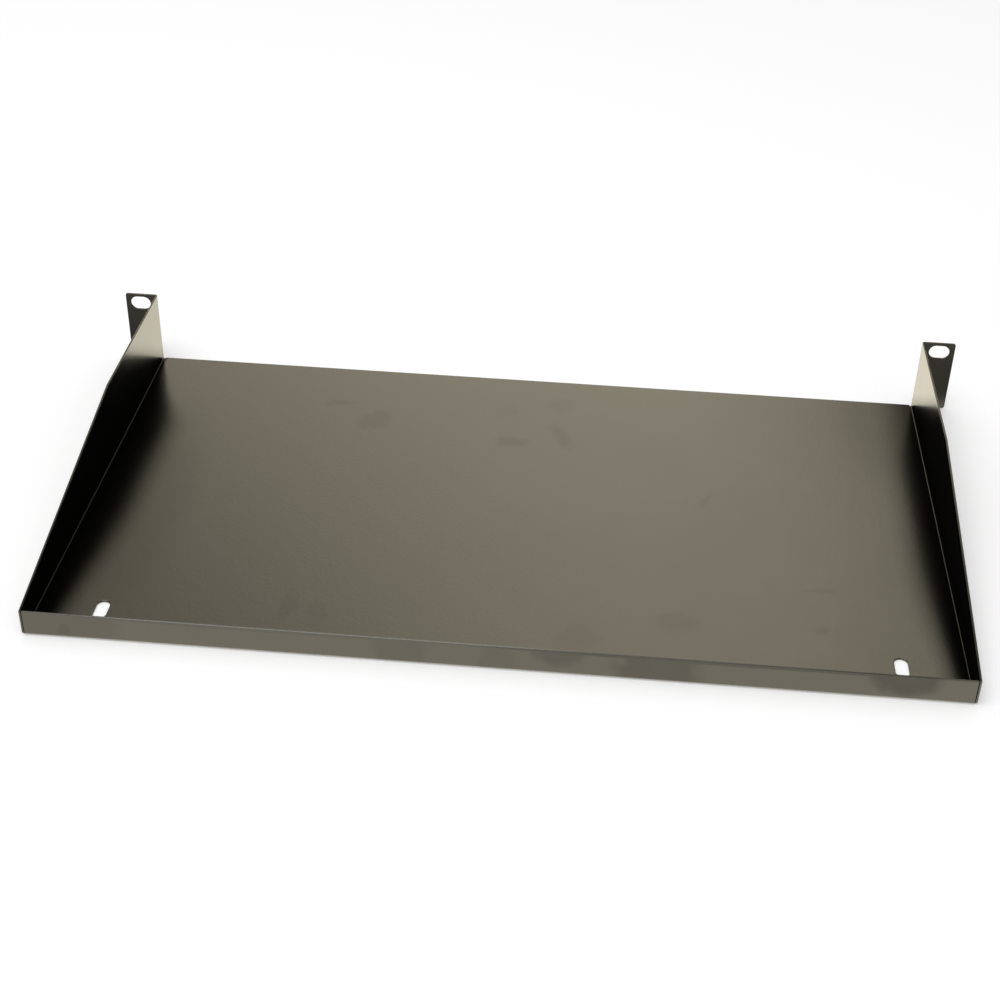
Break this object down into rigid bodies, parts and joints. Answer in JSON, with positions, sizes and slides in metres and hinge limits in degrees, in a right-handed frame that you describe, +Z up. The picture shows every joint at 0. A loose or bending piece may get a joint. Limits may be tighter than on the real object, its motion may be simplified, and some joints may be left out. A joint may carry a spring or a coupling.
{
  "type": "cantilever rack shelf",
  "caption": "Folded sheet-steel cantilever shelf for a 19-inch rack: a flat tray with an upturned lip, tapering side flanges and outward ears with slots for the rack screws.",
  "frame": {"origin": "middle of the bounding box at the height of the tray's underside", "axes": "+X across the rack, +Y from the lip towards the ears, +Z up"},
  "size_m": [0.4826, 0.254, 0.0437],
  "materials": {
    "black_coating": "satin black coating on steel sheet"
  },
  "bodies": {
    "root": {"shelf": "black_coating"}
  },
  "joints": []
}
